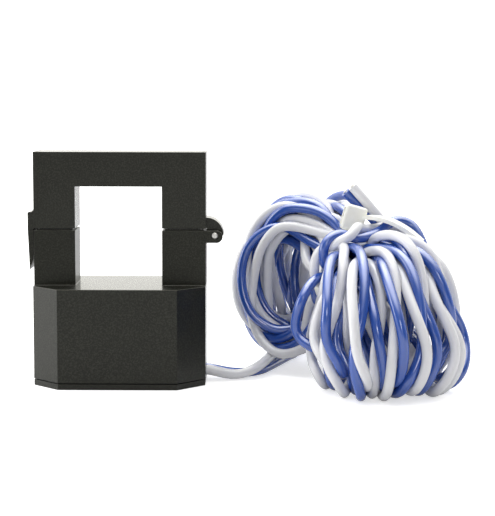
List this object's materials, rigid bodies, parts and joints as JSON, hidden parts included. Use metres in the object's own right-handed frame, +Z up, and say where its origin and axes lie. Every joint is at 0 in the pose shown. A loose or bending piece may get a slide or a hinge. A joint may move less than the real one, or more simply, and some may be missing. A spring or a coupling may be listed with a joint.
{
  "type": "split-core current transformer",
  "caption": "Hinged split-core current transformer that snaps round a conductor, with a square window, an eight-sided base and a twisted pair of leads in a tied hank.",
  "frame": {"origin": "centre of the base cover's underside", "axes": "+Z up from the base to the top of the upper half, +X from the latch to the hinge, +Y along the conductor, from the front to the back"},
  "size_m": [0.1218, 0.0895, 0.065],
  "materials": {
    "black_moulding": "fine spark-eroded texture, low gloss",
    "core_steel": "ground pole faces",
    "spring_steel": "rolled strip",
    "pin_steel": "bright drawn wire",
    "bobbin_nylon": "natural moulded",
    "enamelled_copper": "enamelled fine wire",
    "polyester_tape": "smooth film",
    "tinned_brass": "tinned",
    "board_laminate": "solder resist",
    "resistor_lacquer": "lacquered",
    "diode_glass": "glassy",
    "white_pvc": "smooth extruded insulation",
    "blue_pvc": "smooth extruded insulation",
    "hank_pvc": "stands for both leads",
    "natural_nylon": "slightly milky moulded nylon"
  },
  "bodies": {
    "lower_half": {"lower_housing": "black_moulding", "base_cover": "black_moulding", "lead_clamp": "black_moulding", "lower_core_left": "core_steel", "lower_core_right": "core_steel", "hinge_pin": "pin_steel", "bobbin": "bobbin_nylon", "secondary_winding": "enamelled_copper", "winding_tape": "polyester_tape", "bobbin_pins": "tinned_brass", "lead_terminals": "tinned_brass", "circuit_board": "board_laminate", "burden_resistor": "resistor_lacquer", "protection_diode": "diode_glass", "white_lead": "white_pvc", "blue_lead": "blue_pvc", "lead_hank": "hank_pvc", "cable_tie": "natural_nylon"},
    "upper_half": {"upper_shell": "black_moulding", "top_cap": "black_moulding", "upper_core": "core_steel", "core_spring": "spring_steel"}
  },
  "joints": [
    {"name": "hinge", "type": "hinge", "parent": "lower_half", "child": "upper_half", "pos_m": [0.02645, 0, 0.0418], "axis": [0, 1, 0], "range_deg": [0, 100]}
  ]
}
